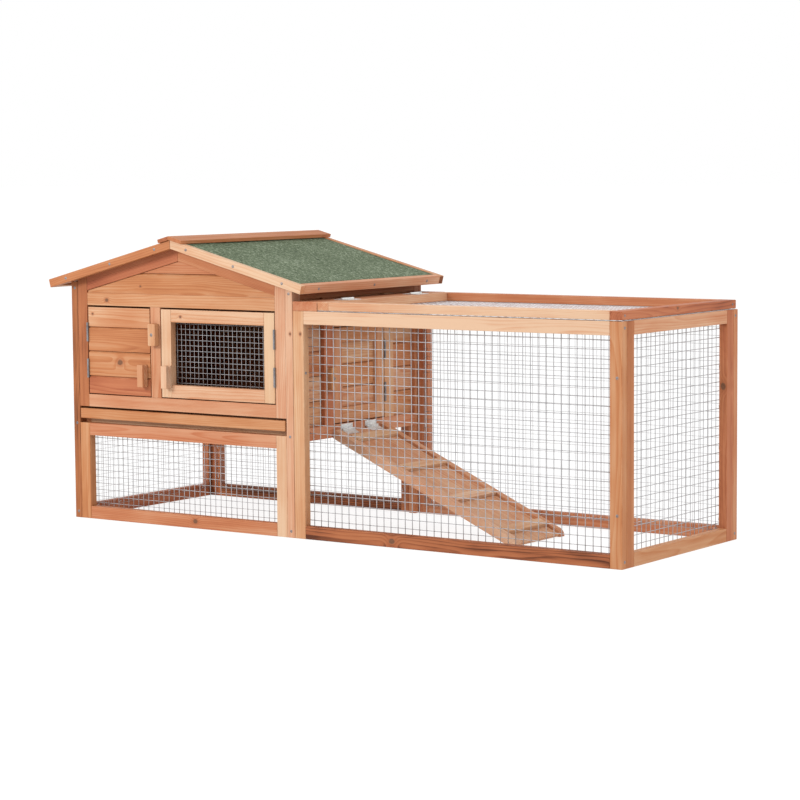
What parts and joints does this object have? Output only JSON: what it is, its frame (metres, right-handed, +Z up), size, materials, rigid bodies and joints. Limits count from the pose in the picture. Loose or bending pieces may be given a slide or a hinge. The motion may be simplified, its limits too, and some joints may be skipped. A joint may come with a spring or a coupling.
{
  "type": "rabbit hutch",
  "caption": "Gabled timber rabbit hutch: raised house with doors and pull-out tray, ramp, and a long wire-mesh run with a hinged lid.",
  "frame": {"origin": "centre of the overall footprint at ground level, under the house and run together", "axes": "+X along the front from the house to the end of the run, +Y from front to back, +Z up"},
  "size_m": [1.578, 0.584, 0.6867],
  "materials": {
    "frame_wood": "orange-brown stained fir, thin clear coat",
    "board_wood": "orange-brown stained fir boards",
    "small_wood": "pale stained fir",
    "plywood": "plain plywood",
    "roof_felt": "green mineral roofing felt",
    "galvanised_wire": "galvanised welded wire",
    "zinc_hinge": "zinc-plated steel"
  },
  "bodies": {
    "hutch": {"house_left_frame": "frame_wood", "house_right_frame": "frame_wood", "house_back_frame": "frame_wood", "house_front_frame": "frame_wood", "lower_front_frame": "frame_wood", "tray_ledge": "frame_wood", "ridge_cap": "frame_wood", "bargeboard_front_left": "frame_wood", "bargeboard_front_right": "frame_wood", "bargeboard_back_left": "frame_wood", "bargeboard_back_right": "frame_wood", "eave_fascia_left": "frame_wood", "eave_fascia_right": "frame_wood", "hinge_beam": "frame_wood", "run_front_frame": "frame_wood", "run_end_frame": "frame_wood", "run_back_frame": "frame_wood", "house_left_boards": "board_wood", "house_right_boards": "board_wood", "house_back_boards": "board_wood", "gable_boards": "board_wood", "roof_board_left": "plywood", "roof_board_right": "plywood", "roof_felt": "roof_felt", "house_left_mesh": "galvanised_wire", "house_back_mesh": "galvanised_wire", "lower_front_mesh": "galvanised_wire", "run_front_mesh": "galvanised_wire", "run_end_mesh": "galvanised_wire", "run_back_mesh": "galvanised_wire", "solid_door_hinge_upper": "zinc_hinge", "solid_door_hinge_lower": "zinc_hinge", "mesh_door_hinge_upper": "zinc_hinge", "mesh_door_hinge_lower": "zinc_hinge", "side_door_hinge_upper": "zinc_hinge", "side_door_hinge_lower": "zinc_hinge", "lid_hinge_front": "zinc_hinge", "lid_hinge_back": "zinc_hinge", "ramp_hinge_front": "zinc_hinge", "ramp_hinge_back": "zinc_hinge"},
    "solid_door": {"solid_door_boards": "board_wood", "solid_door_handle": "small_wood"},
    "mesh_door": {"mesh_door_frame": "frame_wood", "mesh_door_mesh": "galvanised_wire", "mesh_door_handle": "small_wood"},
    "front_turn_button": {"front_turn_button": "small_wood"},
    "side_door": {"side_door_frame": "frame_wood", "side_door_panel": "board_wood"},
    "side_turn_button": {"side_turn_button": "small_wood"},
    "ramp": {"ramp_board": "board_wood", "ramp_rail_front": "frame_wood", "ramp_rail_back": "frame_wood", "ramp_cleat_1": "small_wood", "ramp_cleat_2": "small_wood", "ramp_cleat_3": "small_wood", "ramp_cleat_4": "small_wood"},
    "lid": {"lid_frame": "frame_wood", "lid_mesh": "galvanised_wire"},
    "tray": {"tray_pan": "plywood", "tray_front": "small_wood"}
  },
  "joints": [
    {"name": "solid_door_hinge", "type": "hinge", "parent": "hutch", "child": "solid_door", "pos_m": [-0.68975, -0.2607, 0.4095], "axis": [0, 0, -1], "range_deg": [0, 110]},
    {"name": "mesh_door_hinge", "type": "hinge", "parent": "hutch", "child": "mesh_door", "pos_m": [-0.12225, -0.2607, 0.4095], "axis": [0, 0, 1], "range_deg": [0, 110]},
    {"name": "front_button_turn", "type": "hinge", "parent": "hutch", "child": "front_turn_button", "pos_m": [-0.478, -0.2662, 0.453], "axis": [0, 1, 0], "range_deg": [0, 90]},
    {"name": "side_door_hinge", "type": "hinge", "parent": "hutch", "child": "side_door", "pos_m": [-0.0683, 0.10075, 0.3605], "axis": [0, 0, 1], "range_deg": [0, 95]},
    {"name": "side_button_turn", "type": "hinge", "parent": "hutch", "child": "side_turn_button", "pos_m": [-0.0628, -0.12, 0.356], "axis": [1, 0, 0], "range_deg": [0, 90]},
    {"name": "ramp_hinge", "type": "hinge", "parent": "hutch", "child": "ramp", "pos_m": [-0.066, 0, 0.2333], "axis": [0, 1, 0], "range_deg": [-50, 0]},
    {"name": "lid_hinge", "type": "hinge", "parent": "hutch", "child": "lid", "pos_m": [-0.00075, -0.004, 0.5441], "axis": [0, -1, 0], "range_deg": [0, 100]},
    {"name": "tray_slide", "type": "slide", "parent": "hutch", "child": "tray", "axis": [0, -1, 0], "range_m": [0, 0.42]}
  ]
}
